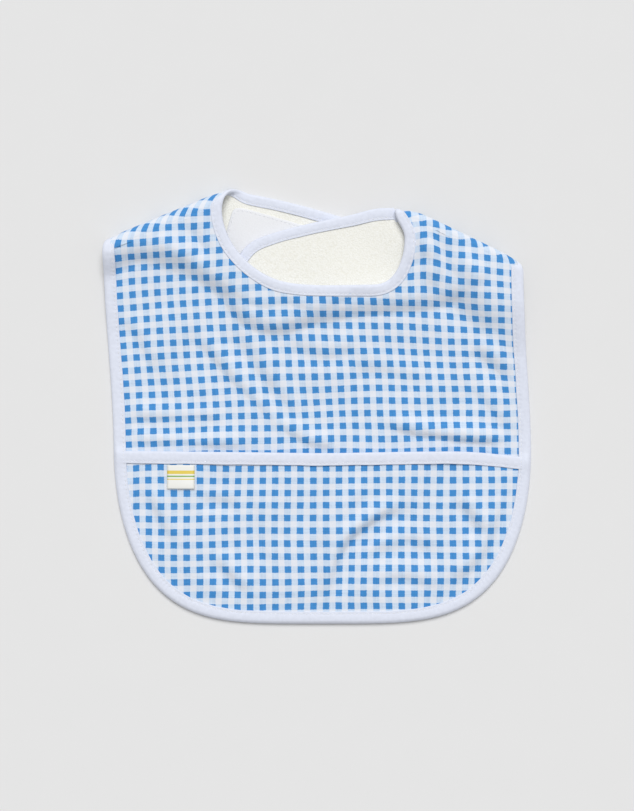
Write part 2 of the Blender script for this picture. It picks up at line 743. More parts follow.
def section(width, half, gap):
    """Closed section of a folded tape as (distance in from the edge, height off the middle): a rounded
    edge, a slight dip at the stitches and an open inside."""
    bow = np.linspace(0, np.pi / 2, 7)
    rim = np.stack([2.4 * (1 - np.cos(bow)), (half + 0.02) * np.sin(bow)], -1)
    share = np.array([0.5, 0.66, 0.76, 0.8, 0.86, 0.96, 1.0])
    rise = np.array([0.06, 0.0, -0.14, -0.26, -0.16, -0.1, -0.24])
    top = np.stack([width * share, half + rise], -1)
    inner = np.array([(width, gap + 0.04), (width - 0.4, gap), (2.4, gap), (0.8, gap * 0.5)])
    upper = np.vstack([rim, top, inner])
    return np.vstack([upper, upper[1:][::-1] * (1, -1)])


class Edge:
    """A bound edge in space: points, the cloth's normals there, tape width and room for extra cloth."""

    def __init__(self, points, normals, width, room=None):
        self.points, self.width = points, width
        self.room = np.zeros(len(points)) if room is None else room
        self.tangent = unit(np.gradient(points, axis=0))
        self.inward = unit(np.cross(normals, self.tangent))
        self.normal = np.cross(self.tangent, self.inward)
        self.run = np.r_[0, np.cumsum(np.linalg.norm(np.diff(points, axis=0), axis=1))]
        self.loop = self.run[-1]

    def even(self, wave):
        """The wavelength nearest to this one that fits the whole edge a whole number of times."""
        return self.loop / max(1, round(self.loop / wave))

    def tilted(self, height):
        """The same edge with its tape leaning with the ground under it, read a tape's width inwards."""
        foot = self.points + self.inward * self.width[:, None]
        rise = height(foot[:, 0], foot[:, 1]) - height(self.points[:, 0], self.points[:, 1])
        rise /= self.width
        self.inward = unit(self.inward + np.array([0, 0, 1.0]) * rise[:, None])
        self.normal = np.cross(self.tangent, self.inward)
        return self

    def cut(self, first, last):
        """The stretch from one index to another, with its frames and run kept."""
        part = object.__new__(Edge)
        for key, values in vars(self).items():
            setattr(part, key, values if key == "loop" else values[first : last + 1])
        return part


def tape(name, edge, kind, half=1.84, gap=1.28, seed=5):
    """A tape's section carried along an edge, puckered between stitches and a little uneven in width."""
    share = section(8.0, half, gap)
    draw = np.random.default_rng(seed)
    turns = 2 * np.pi * edge.run
    drift = sum(np.sin(turns / edge.even(w) + draw.uniform(0, 7)) for w in (19, 31, 53)) / 3
    pucker = np.cos(turns / edge.even(mm("stitch")))
    inset = share[None, :, 0] * (edge.width / 8 * (1 + 0.02 * drift))[:, None]
    seam = np.exp(-(((share[:, 0] - 6.4) / 1.3) ** 2)) * (share[:, 0] < 7.9)
    height = share[None, :, 1] * (1 + 0.06 * pucker[:, None] * seam + 0.03 * drift[:, None])
    shell_side = (share[:, 1] > 0.3) * smooth(share[:, 0] / 2.5)
    height = height + shell_side[None] * edge.room[:, None]
    points = edge.points[:, None] + edge.inward[:, None] * inset[..., None]
    points = points + edge.normal[:, None] * height[..., None]
    count, ring = points.shape[:2]
    at = np.arange(count * ring).reshape(count, ring)
    nxt = np.roll(at, -1, 1)
    faces = np.stack([at[:-1], nxt[:-1], nxt[1:], at[1:]], -1).reshape(-1, 4)
    around = np.r_[0, np.cumsum(np.linalg.norm(np.diff(share, axis=0), axis=1))]
    uv = np.stack(np.broadcast_arrays(edge.run[:, None], around[None]), -1).reshape(-1, 2)
    made = add_mesh(name, points.reshape(-1, 3), faces, uv, kind)
    close_ends(made)
    return made


def close_ends(made):
    """Closes the open ends of a swept piece and turns its faces outwards."""
    shape = bmesh.new()
    shape.from_mesh(made.data)
    rim = [e for e in shape.edges if len(e.link_faces) == 1]
    bmesh.ops.holes_fill(shape, edges=rim, sides=0)
    for edge in rim:
        edge.smooth = False
    bmesh.ops.recalc_face_normals(shape, faces=shape.faces)
    shape.to_mesh(made.data)
    shape.free()


def dashes(edge, inset, height):
    """Thread dashes along an edge: each a short bowed rod of five rings of six, sunk at both ends."""
    step = mm("stitch")
    line = edge.points + edge.inward * inset[:, None] + edge.normal * height[:, None]
    run = edge.run
    count = int((run[-1] - run[0]) // step)
    share = np.linspace(-1, 1, 5)
    at = run[0] + (np.arange(count)[:, None] + 0.5) * step + share[None] * step * 0.37

    def along(values):
        return np.stack([np.interp(at, run, values[:, k]) for k in range(3)], -1)

    up, out = along(edge.normal), along(edge.inward)
    centre = along(line) - up * (0.24 * np.sign(height[0]) * share**2)[None, :, None]
    radius = 0.23 * np.sqrt(1 - 0.8 * share**2)[None, :, None, None]
    angle = np.linspace(0, 2 * np.pi, 7)[:-1, None]
    ring = up[:, :, None] * np.sin(angle) + out[:, :, None] * np.cos(angle)
    points = centre[:, :, None] + ring * radius
    n, rings, around = points.shape[:3]
    idx = np.arange(n * rings * around).reshape(n, rings, around)
    nxt = np.roll(idx, -1, 2)
    faces = [np.stack([idx[:, :-1], nxt[:, :-1], nxt[:, 1:], idx[:, 1:]], -1).reshape(-1, 4)]
    for k in (0, rings - 1):
        faces += [idx[:, k][:, [0, 1, 2, 3]], idx[:, k][:, [0, 3, 4, 5]]]
    return points.reshape(-1, 3), np.vstack(faces)


def stitches(name, edges, kind):
    """One piece of stitching from several lines of dashes, each line given as (edge, inset, height)."""
    points, faces, start = [], [], 0
    for edge, inset, height in edges:
        p, f = dashes(edge, inset, height)
        points.append(p)
        faces.append(f + start)
        start += len(p)
    made = add_mesh(name, np.vstack(points), np.vstack(faces), None, kind)
    close_ends(made)
    return made


def seam_lines(edge, half=1.84, both=True):
    """The stitch lines of a tape, on the gingham side and on the lining side."""
    inset = edge.width * 0.8
    top = np.full(len(edge.points), half - 0.2) + edge.room
    lines = [(edge, inset, top)]
    if both:
        lines.append((edge, inset, np.full(len(edge.points), 0.2 - half)))
    return lines


def turn_edge(fold, share):
    """A line round a shoulder turn at a share of its run, front to strap, with the cloth's normals."""
    s = np.linspace(0, math.pi * fold.radius, 21)
    angle = s / fold.radius
    spoke = np.column_stack([np.outer(np.sin(angle), fold.out), np.cos(angle)])
    return strap_surface(fold, np.full_like(s, fold.run * share), s, 0.0), spoke


def strap_edge(fold):
    """A strap's own bound edge in space, neck side, tip and hem side, facing down."""
    plan = STRAP[fold.side]
    points = np.column_stack([plan, fold.height - fold.radius + sag(fold, plan[:, 0], plan[:, 1])])
    return points, np.tile([0, 0, -1.0], (len(plan), 1))


def front_edge(path):
    """A plan path raised to the front's middle."""
    z = front_z(path[:, 0], path[:, 1])
    return np.column_stack([path, z]), np.tile([0, 0, 1.0], (len(path), 1))


def back(pair):
    """An edge's points and normals, run the other way."""
    return pair[0][::-1], pair[1][::-1]


def whole_edge():
    """The bib's one closed bound edge: hem, right turn, right strap, right turn, neck, left turn, left
    strap, left turn. Returns the edge and the index at which each of the eight stretches begins."""
    if "edge" in FIELDS:
        return FIELDS["edge"]
    wide, slim = mm("hem_tape"), mm("neck_tape")
    stretches = [
        (front_edge(HEM), wide, wide),
        (turn_edge(RIGHT, 1.0), wide, slim),
        (back(strap_edge(RIGHT)), slim, slim),
        (back(turn_edge(RIGHT, 0.0)), slim, slim),
        (front_edge(NECK), slim, slim),
        (turn_edge(LEFT, 0.0), slim, slim),
        (strap_edge(LEFT), slim, slim),
        (back(turn_edge(LEFT, 1.0)), slim, wide),
    ]
    rows, marks = [], []
    for (points, normals), first, last in stretches:
        marks.append(sum(map(len, rows)))
        width = np.linspace(first, last, len(points))
        rows.append(np.column_stack([points, normals, width])[:-1])
    data = np.vstack([*rows, rows[0][:1]])
    gaps = np.linalg.norm(np.diff(data[:, :3], axis=0), axis=1)
    run = np.r_[0, np.cumsum(gaps)]
    starts = run[marks]
    even = np.linspace(0, run[-1], round(run[-1] / 0.7) + 1)[:-1]
    data = np.stack([np.interp(even, run, data[:, k]) for k in range(7)], -1)
    for _ in range(8):
        data = data * 0.5 + (np.roll(data, 1, 0) + np.roll(data, -1, 0)) * 0.25
    wrapped = np.vstack([data[-OVERLAP:], data, data[:OVERLAP]])
    points, normals = wrapped[:, :3], unit(wrapped[:, 3:6])
    edge = Edge(points, normals, wrapped[:, 6], pocket_room(*points.T))
    marks = np.searchsorted(even, starts) + OVERLAP
    edge.loop = run[-1]
    for fold, k in ((RIGHT, 1), (RIGHT, 3), (LEFT, 5), (LEFT, 7)):
        span = slice(marks[k], marks[k + 1] if k < 7 else len(edge.points) - OVERLAP)
        facing = np.sign(edge.inward[span, :2] @ fold.along).mean().round()
        edge.inward[span] = fold.along * facing @ np.eye(2, 3)
    for _ in range(30):
        edge.inward[1:-1] = edge.inward[1:-1] * 0.5 + (edge.inward[:-2] + edge.inward[2:]) * 0.25
    edge.inward = unit(edge.inward)
    for first, last, quiet, grow in ((0, marks[1], 20, 20), (marks[4], marks[5], 8, 14)):
        at, span = np.arange(last - first + 1), slice(first, last + 1)
        lean = edge.cut(first, last).tilted(front_z).inward
        share = smooth((at - quiet) / grow) * smooth((last - first - at - quiet) / grow)
        edge.inward[span] = unit(edge.inward[span] * (1 - share[:, None]) + lean * share[:, None])
    edge.normal = np.cross(edge.tangent, edge.inward)
    FIELDS["edge"] = edge, marks
    return FIELDS["edge"]


def pocket_room(x, y, z):
    """Extra height of the hem tape where it also holds the pocket's cloth, and more over its tape."""
    mouth = mouth_y(x)
    below = 0.55 * smooth((mouth + 4 - y) / 6)
    over = 0.9 * np.exp(-(((y - mouth + 4) / 5.5) ** 2))
    return (below + over) * (z < 5.5) * (y < 0)


def piece(made, body=None, replaces=()):
    """Places a finished piece: the body it rides on, the frame's nodes it stands for and its finish."""
    if body:
        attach(made, body)
    if replaces:
        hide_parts(*replaces)
    return made


# ---------------------------------------------------------------- materials


def node(tree, kind, inputs=(), out=0, to=None, **settings):
    """Adds a node, sets its properties, fills or links its inputs by name or number, and gives the
    chosen output, linked on to a socket where one is given."""
    made = tree.nodes.new("ShaderNode" + kind)
    for key, value in settings.items():
        setattr(made, key, value)
    for key, value in dict(inputs).items():
        if isinstance(value, bpy.types.NodeSocket):
            tree.links.new(value, made.inputs[key])
        else:
            made.inputs[key].default_value = value
    if to is not None:
        tree.links.new(made.outputs[out], to)
    return made.outputs[out] if len(made.outputs) else None


def material(name, roughness, **sockets):
    """A material with its tree, and its shader's colour and normal sockets, nothing linked yet."""
    made = bpy.data.materials.get(name) or bpy.data.materials.new(name)
    made.use_nodes = True
    tree = made.node_tree
    tree.nodes.clear()
    inputs = {"Roughness": roughness}
    inputs.update((key.replace("_", " "), value) for key, value in sockets.items())
    surface = node(tree, "BsdfPrincipled", inputs)
    node(tree, "OutputMaterial", {"Surface": surface})
    shader = surface.node
    return made, tree, shader.inputs["Base Color"], shader.inputs["Normal"]


def rgba(name, scale=1.0, lift=0.0):
    """One of the user's colours, scaled and lifted, with its alpha."""
    tone = np.array(getattr(bpy.context.scene.bib_colours, name)) * scale + lift
    return (*np.minimum(tone, 1.0), 1.0)


def gingham(name, centre):
    """Cotton gingham, yarn-dyed and plain woven: soft-edged square checks where coloured warp and weft
    cross, pale where one of them meets white, with streaks along the threads. The threads, 0.45 mm on
    the real cloth, are drawn at 0.8 mm so that they show."""
    repeat, half = mm("repeat"), bpy.context.scene.bib_sizes.band / 2
    made, tree, base, normal = material(name, 0.82, Sheen_Weight=0.12, Sheen_Roughness=0.5)
    cloth = node(tree, "UVMap", uv_map="Cloth")
    noise = {"Vector": cloth, "Scale": 0.9, "Detail": 3.0, "Roughness": 0.6}
    place = node(tree, "TexNoise", noise, out="Color")
    for operation, value in (
        ("SUBTRACT", (0.5,) * 3),
        ("MULTIPLY", (0.75,) * 3),
        ("ADD", cloth),
        ("ADD", (400.5 * repeat - centre[0], 400.5 * repeat - centre[1], 0.0)),
        ("DIVIDE", (repeat,) * 3),
        ("FRACTION", (0.0,) * 3),
        ("SUBTRACT", (0.5,) * 3),
        ("ABSOLUTE", (0.0,) * 3),
    ):
        place = node(tree, "VectorMath", {0: place, 1: value}, operation=operation)
    off = node(tree, "SeparateXYZ", {0: place}).node.outputs
    streaks, bands = [], []
    for k, stretch in enumerate(((1.3, 0.06, 1.0), (0.06, 1.3, 1.0))):
        edges = {0: off[k], 1: half + 0.025, 2: half - 0.025, 3: 0.0, 4: 1.0}
        bands.append(node(tree, "MapRange", edges, interpolation_type="SMOOTHSTEP"))
        long = node(tree, "Mapping", {"Vector": cloth, "Scale": stretch})
        streak = node(tree, "TexNoise", {"Vector": long, "Scale": 1.0, "Detail": 2.0})
        streaks.append(node(tree, "MapRange", {0: streak, 1: 0.3, 2: 0.7, 3: 0.0, 4: 0.5}))
    one = node(tree, "Math", {0: bands[0], 1: bands[1]}, operation="MAXIMUM")
    both = node(tree, "Math", {0: bands[0], 1: bands[1]}, operation="MULTIPLY")
    tone = node(tree, "Math", {0: streaks[0], 1: streaks[1]}, operation="ADD")
    single = {0: tone, 6: rgba("band", 0.9), 7: rgba("band", 1.12)}
    single = node(tree, "Mix", single, out=2, data_type="RGBA")
    double = {0: tone, 6: rgba("square", 0.86), 7: rgba("square", 1.12, 0.012)}
    double = node(tree, "Mix", double, out=2, data_type="RGBA")
    check = node(tree, "Mix", {0: one, 6: rgba("ground"), 7: single}, out=2, data_type="RGBA")
    check = node(tree, "Mix", {0: both, 6: check, 7: double}, out=2, data_type="RGBA")
    fine = node(tree, "VectorMath", {0: cloth, "Scale": math.tau / 0.8}, operation="SCALE")
    fine = node(tree, "VectorMath", {0: fine}, operation="SINE")
    fine = node(tree, "SeparateXYZ", {0: fine}).node.outputs
    weave = node(tree, "Math", {0: fine[0], 1: fine[1]}, operation="MULTIPLY")
    shade = node(tree, "Math", {0: weave, 1: 0.035, 2: 0.975}, operation="MULTIPLY_ADD")
    node(tree, "VectorMath", {0: check, "Scale": shade}, to=base, operation="SCALE")
    crepe = {"Vector": cloth, "Scale": 0.16, "Detail": 3.0, "Roughness": 0.55}
    crepe = node(tree, "TexNoise", crepe)
    soft = node(tree, "Bump", {"Height": crepe, "Distance": 0.9 * MM, "Strength": 0.5})
    rib = {"Height": weave, "Distance": 0.05 * MM, "Strength": 0.6, "Normal": soft}
    node(tree, "Bump", rib, to=normal)
    return made


def tape_cloth():
    """Cotton binding tape, plain woven and folded: fine cross ribs every 0.7 mm and faint cloudy creases."""
    made, tree, base, normal = material(
        "cotton binding tape, woven", 0.8, Sheen_Weight=0.15, Sheen_Roughness=0.5
    )
    cloth = node(tree, "UVMap", uv_map="Cloth")
    along = node(tree, "SeparateXYZ", {0: cloth})
    turns = node(tree, "Math", {0: along, 1: math.tau / 0.7}, operation="MULTIPLY")
    rib = node(tree, "Math", {0: turns}, operation="SINE")
    cloud = node(tree, "TexNoise", {"Vector": cloth, "Scale": 0.35, "Detail": 4.0})
    tone = node(tree, "MapRange", {0: cloud, 1: 0.3, 2: 0.7, 3: 0.0, 4: 1.0})
    shades = {0: tone, 6: rgba("tape", 0.93), 7: rgba("tape")}
    node(tree, "Mix", shades, out=2, to=base, data_type="RGBA")
    soft = node(tree, "Bump", {"Height": cloud, "Distance": 0.35 * MM, "Strength": 0.6})
    fine = {"Height": rib, "Distance": 0.03 * MM, "Strength": 0.5, "Normal": soft}
    node(tree, "Bump", fine, to=normal)
    return made


def terry_cloth():
    """Cotton terry, looped: a close pile of small loops, about 1 mm each, with darker gaps between."""
    made, tree, base, normal = material(
        "cotton terry, looped", 0.95, Sheen_Weight=0.3, Sheen_Roughness=0.6
    )
    place = node(tree, "TexCoord", out="Object")
    loops = node(tree, "TexVoronoi", {"Vector": place, "Scale": 980.0, "Randomness": 0.9})
    fuzz = {"Vector": place, "Scale": 420.0, "Detail": 4.0, "Roughness": 0.7}
    fuzz = node(tree, "TexNoise", fuzz)
    mound = node(tree, "Math", {0: 1.0, 1: loops}, operation="SUBTRACT")
    high = node(tree, "Math", {0: fuzz, 1: 0.9, 2: mound}, operation="MULTIPLY_ADD")
    tone = node(tree, "MapRange", {0: high, 1: 0.55, 2: 1.35, 3: 0.0, 4: 1.0})
    shades = {0: tone, 6: rgba("terry", (0.92, 0.91, 0.87)), 7: rgba("terry")}
    node(tree, "Mix", shades, out=2, to=base, data_type="RGBA")
    node(tree, "Bump", {"Height": high, "Distance": 0.3 * MM, "Strength": 0.6}, to=normal)
    return made


def pile_cloth(name, scale, share):
    """Nylon fastener tape, knitted with a raised pile: dense random fibres and a soft grain."""
    made, tree, base, normal = material(name, 0.85, Sheen_Weight=0.25, Sheen_Roughness=0.45)
    place = node(tree, "TexCoord", out="Object")
    fibre = {"Vector": place, "Scale": scale, "Detail": 5.0, "Roughness": 0.7}
    fibre = node(tree, "TexNoise", fibre)
    tone = node(tree, "MapRange", {0: fibre, 1: 0.3, 2: 0.7, 3: 0.0, 4: 1.0})
    shades = {0: tone, 6: rgba("patch", share), 7: rgba("patch")}
    node(tree, "Mix", shades, out=2, to=base, data_type="RGBA")
    node(tree, "Bump", {"Height": fibre, "Distance": 0.3 * MM, "Strength": 0.6}, to=normal)
    return made


def thread_cloth():
    """Polyester sewing thread, twisted: fine slanting plies and a low lustre."""
    made, tree, base, normal = material("polyester sewing thread, twisted", 0.55, Sheen_Weight=0.2)
    place = node(tree, "TexCoord", out="Object")
    ply = {"Vector": place, "Scale": 500.0, "Distortion": 1.0}
    ply = node(tree, "TexWave", ply, out=1, bands_direction="DIAGONAL")
    shades = {0: ply, 6: rgba("thread", 0.8), 7: rgba("thread")}
    node(tree, "Mix", shades, out=2, to=base, data_type="RGBA")
    node(tree, "Bump", {"Height": ply, "Distance": 0.05 * MM, "Strength": 0.5}, to=normal)
    return made


def barrier_film():
    """Polyurethane-coated interlining: smooth, faintly milky and a little glossy, with a soft grain."""
    made, tree, base, normal = material("polyurethane film, laminated", 0.35)
    place = node(tree, "TexCoord", out="Object")
    grain = node(tree, "TexNoise", {"Vector": place, "Scale": 300.0, "Detail": 3.0})
    shades = {0: grain, 6: (*linear("#dfe5ea"), 1), 7: (*linear("#eef2f5"), 1)}
    node(tree, "Mix", shades, out=2, to=base, data_type="RGBA")
    node(tree, "Bump", {"Height": grain, "Distance": 0.1 * MM, "Strength": 0.3}, to=normal)
    return made


def satin_ribbon():
    """Polyester satin ribbon, woven: close cross floats with a soft shine, and three woven stripes."""
    made, tree, base, normal = material(
        "polyester satin, woven", 0.42, Sheen_Weight=0.2, Anisotropic=0.4
    )
    cloth = node(tree, "UVMap", uv_map="Cloth")
    down = node(tree, "SeparateXYZ", {0: cloth}, out=1)
    shown = rgba("satin")
    for low, high, dye in ((3.4, 5.6, "#e8cf52"), (6.6, 7.5, "#7fae4e"), (8.6, 9.2, "#e8cf52")):
        rise = {0: down, 1: low - 0.15, 2: low + 0.15, 3: 0.0, 4: 1.0}
        fall = {0: down, 1: high - 0.15, 2: high + 0.15, 3: 1.0, 4: 0.0}
        sides = {0: node(tree, "MapRange", rise), 1: node(tree, "MapRange", fall)}
        stripe = node(tree, "Math", sides, operation="MULTIPLY")
        dyed = {0: stripe, 6: shown, 7: (*linear(dye), 1)}
        shown = node(tree, "Mix", dyed, out=2, data_type="RGBA")
    turns = node(tree, "Math", {0: down, 1: math.tau / 0.6}, operation="MULTIPLY")
    floats = node(tree, "Math", {0: turns}, operation="SINE")
    shade = node(tree, "Math", {0: floats, 1: 0.03, 2: 0.97}, operation="MULTIPLY_ADD")
    node(tree, "VectorMath", {0: shown, "Scale": shade}, to=base, operation="SCALE")
    node(tree, "Bump", {"Height": floats, "Distance": 0.03 * MM, "Strength": 0.5}, to=normal)
    return made


def paper_floor():
    """Matt backdrop paper, rolled: an even pale grey with the faintest mottle."""
    made, tree, base, _ = material("backdrop paper, rolled", 0.9)
    place = node(tree, "TexCoord", out="Object")
    mottle = node(tree, "TexNoise", {"Vector": place, "Scale": 40.0, "Detail": 3.0})
    tone = node(tree, "MapRange", {0: mottle, 1: 0.3, 2: 0.7, 3: 0.0, 4: 1.0})
    shades = {0: tone, 6: rgba("floor", 0.994), 7: rgba("floor")}
    node(tree, "Mix", shades, out=2, to=base, data_type="RGBA")
    return made


# ---------------------------------------------------------------- operators


class BIB_OT_front(bpy.types.Operator):
    """Lays the front's gingham, moisture film and terry, one over the other"""

    bl_idname = "bib.front"
    bl_label = "Front cloths"

    def execute(self, context):
        checks = gingham("cotton gingham, yarn-dyed", GINGHAM_AT)
        shell = front_sheet("front_gingham", SHELL, SHELL_THICK, checks)
        film = front_sheet("front_film", BARRIER, BARRIER_THICK, barrier_film())
        terry = front_sheet("front_terry", LINING, LINING_THICK, terry_cloth())
        piece(shell, "front", ["front_shell"])
        piece(film, "front", ["front_barrier"])
        piece(terry, "front", ["front_lining"])
        return {"FINISHED"}


def add_strap(fold):
    """A strap's gingham, film and terry, each bending round the shoulder turn."""
    checks = gingham("cotton gingham, yarn-dyed", GINGHAM_AT)
    for kind, layer, slot, cloth, offset, thick in (
        ("gingham", "shell", "gingham", checks, SHELL, SHELL_THICK),
        ("film", "barrier", "barrier", barrier_film(), BARRIER, BARRIER_THICK),
        ("terry", "lining", "terry", terry_cloth(), LINING, LINING_THICK),
    ):
        sheet = strap_sheet(f"{fold.side}_strap_{kind}", fold, offset, thick, cloth)
        bend_strap(sheet)
        piece(sheet, None, [f"{fold.side}_fold_{layer}", f"{fold.side}_strap_{layer}"])


class BIB_OT_left_strap(bpy.types.Operator):
    """Folds the left strap under the front, with its shoulder turn"""

    bl_idname = "bib.left_strap"
    bl_label = "Left strap"

    def execute(self, context):
        add_strap(LEFT)
        return {"FINISHED"}


class BIB_OT_right_strap(bpy.types.Operator):
    """Folds the right strap over the left one, with its shoulder turn"""

    bl_idname = "bib.right_strap"
    bl_label = "Right strap"

    def execute(self, context):
        add_strap(RIGHT)
        return {"FINISHED"}


class BIB_OT_binding(bpy.types.Operator):
    """Runs the binding tape and its stitches round the hem, the neck and both straps"""

    bl_idname = "bib.binding"
    bl_label = "Binding tape"

    def execute(self, context):
        edge, marks = whole_edge()
        cloth, thread = tape_cloth(), thread_cloth()
        stub = 12
        start = OVERLAP + stub
        ends = [marks[1] - stub, marks[4] + stub, marks[5] - stub]
        stretches = {
            "hem": edge.cut(start, ends[0]),
            "right_strap": edge.cut(ends[0], ends[1]),
            "neck": edge.cut(ends[1], ends[2]),
            "left_strap": rolled(edge, ends[2], start),
        }
        for name, part in stretches.items():
            band = tape(f"{name}_tape", part, cloth)
            seam = stitches(f"{name}_stitches", seam_lines(part), thread)
            body, nodes = "front", [f"{name}_binding"]
            if name.endswith("strap"):
                fold = LEFT if name == "left_strap" else RIGHT
                bend_strap(band)
                bend_strap(seam)
                body = None
                nodes += [f"{fold.side}_fold_hem_binding", f"{fold.side}_fold_neck_binding"]
            piece(band, body, nodes)
            piece(seam, body, [f"{name}_seam"])
        return {"FINISHED"}


def rolled(edge, first, last):
    """The stretch of a closed edge that runs over its start, from a late index round to an early one."""
    part = object.__new__(Edge)
    end = len(edge.points) - OVERLAP
    for key, values in vars(edge).items():
        if key == "loop":
            part.loop = values
            continue
        head = values[OVERLAP : last + 1]
        if key == "run":
            head = head + values[end] - values[OVERLAP]
        setattr(part, key, np.concatenate([values[first:end], head]))
    return part


def pocket_halves():
    return (("left", -1.0), ("right", 1.0))


def bend_pocket(made):
    """Lets half of the pocket lift at the mouth while its hem stays sewn down."""
    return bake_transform(made)


class BIB_OT_pocket(bpy.types.Operator):
    """Sews on the pocket panel in two halves that meet at the middle, with its bound mouth and stitches"""

    bl_idname = "bib.pocket"
    bl_label = "Pocket"

    def execute(self, context):
        cloth = gingham("cotton gingham, yarn-dyed, pocket", POCKET_GINGHAM_AT)
        binding, thread = tape_cloth(), thread_cloth()
        step = mm("grid")
        mouth = pocket_edge()
        for name, side in pocket_halves():
            columns = SHIFT[0] + side * np.r_[0, 0.15, np.arange(step, 138, step)]
            columns = np.sort(columns)
            x, y = np.meshgrid(columns, np.arange(-140, -24, step))
            x, y = x.copy(), y.copy()
            top = mouth_y(x) - EDGE_HIDDEN
            snap = (y > top - step * 0.5) & (y < top + step * 0.5)
            y = np.where(snap, top, y)
            hem = distance(x, y, HEM[::2])[0]
            keep = inside(x, y, HEM) & (hem > 4.6) & (y < top + 0.01)
            points = np.stack([x, y, pocket_z(x, y)], -1)
            u, v = pattern_at(x, y)
            free = smooth((hem - 8) / 10)
            unrest = np.stack([ripple(x, y, 60, 41), ripple(x, y, 60, 42)], -1) * 0.4
            lift = 2.2 * smooth(-x / 95) * np.clip((y + 88) / 48, 0, 1)
            lift += 0.8 * np.exp(-(((x - 25) / 60) ** 2)) * smooth((-38 - y) / 25)
            uv = np.stack([u, v - lift], -1) + unrest * free[..., None]
            quads = grid_quads(keep)
            points, uv = points.reshape(-1, 3), uv.reshape(-1, 2)
            panel = add_mesh(f"pocket_{name}_gingham", points, quads, uv, cloth)
            thicken(panel, SHELL_THICK)
            middle = len(mouth.points) // 2
            part = mouth.cut(0, middle) if side > 0 else mouth.cut(middle, len(mouth.points) - 1)
            band = tape(f"pocket_{name}_tape", part, binding, half=1.0, gap=0.42, seed=17)
            lines = seam_lines(part, half=1.0, both=False)
            seam = stitches(f"pocket_{name}_stitches", lines, thread)
            for made in (panel, band, seam):
                bend_pocket(made)
            piece(panel, None, ["pocket_panel"])
            piece(band, None, ["pocket_binding"])
            piece(seam, None, ["pocket_seam"])
        return {"FINISHED"}


def pocket_edge():
    """The pocket's mouth as an edge from right to left, its ends tucked under the hem tape."""
    if "mouth" in FIELDS:
        return FIELDS["mouth"]
    x = np.linspace(138, -138, 600)
    y = mouth_y(x)
    hem = distance(x, y, HEM[::2])[0]
    good = inside(x, y, HEM) & (hem > 3.5)
    path = even_steps(np.column_stack([x, y])[good], 0.7)
    hem = distance(path[:, 0], path[:, 1], HEM[::2])[0]
    z = np.maximum(pocket_z(path[:, 0], path[:, 1]), 3.95)
    z += smooth((hem - 8) / 14) * (0.45 + 0.25 * ripple(path[:, 0], path[:, 1], 48, 51))
    points = np.column_stack([path, z])
    FIELDS["mouth"] = Edge(points, np.tile([0, 0, 1.0], (len(path), 1)), np.full(len(path), 7.9))
    return FIELDS["mouth"]


class BIB_OT_label(bpy.types.Operator):
    """Hangs the folded ribbon label from the pocket's tape"""

    bl_idname = "bib.label"
    bl_label = "Label"

    def execute(self, context):
        low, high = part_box("label")
        centre, half = (low.x + high.x) / 2 / MM, (high.x - low.x) / 2 / MM
        top, bottom = high.y / MM + 1.2, low.y / MM + 0.4
        drop = top - bottom
        bend = 0.42
        a = np.linspace(-1, 1, 13)
        down = np.linspace(0, drop - bend, 16)
        round_foot = drop - bend + np.linspace(0.1, 1, 8) * math.pi * bend
        up = drop + (math.pi - 1) * bend + np.linspace(0.06, 1, 15) * (drop - bend)
        s = np.r_[down, round_foot, up]
        run, across = np.meshgrid(s, a, indexing="ij")
        arc = np.clip((run - drop + bend) / bend, 0, math.pi)
        back = np.maximum(run - (drop - bend) - math.pi * bend, 0)
        y = top - np.minimum(run, drop - bend) - bend * np.sin(arc) + back
        far = smooth((top - y) / drop)
        stand = 0.55 + 0.9 * far**2 + 0.25 * across * far
        x = centre + across * half
        z = pocket_z(x, y) + stand + bend * np.cos(arc)
        points = np.stack([x, y, z], -1)
        uv = np.stack([across * half, run], -1)
        quads = grid_quads(np.ones(run.shape, bool))[:, ::-1]
        points, uv = points.reshape(-1, 3), uv.reshape(-1, 2)
        made = add_mesh("label_ribbon", points, quads, uv, satin_ribbon())
        thicken(made, 0.3)
        x, y, z = joint("label_flap")["pos_m"]
        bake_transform(made)
        piece(made, None, ["label"])
        return {"FINISHED"}


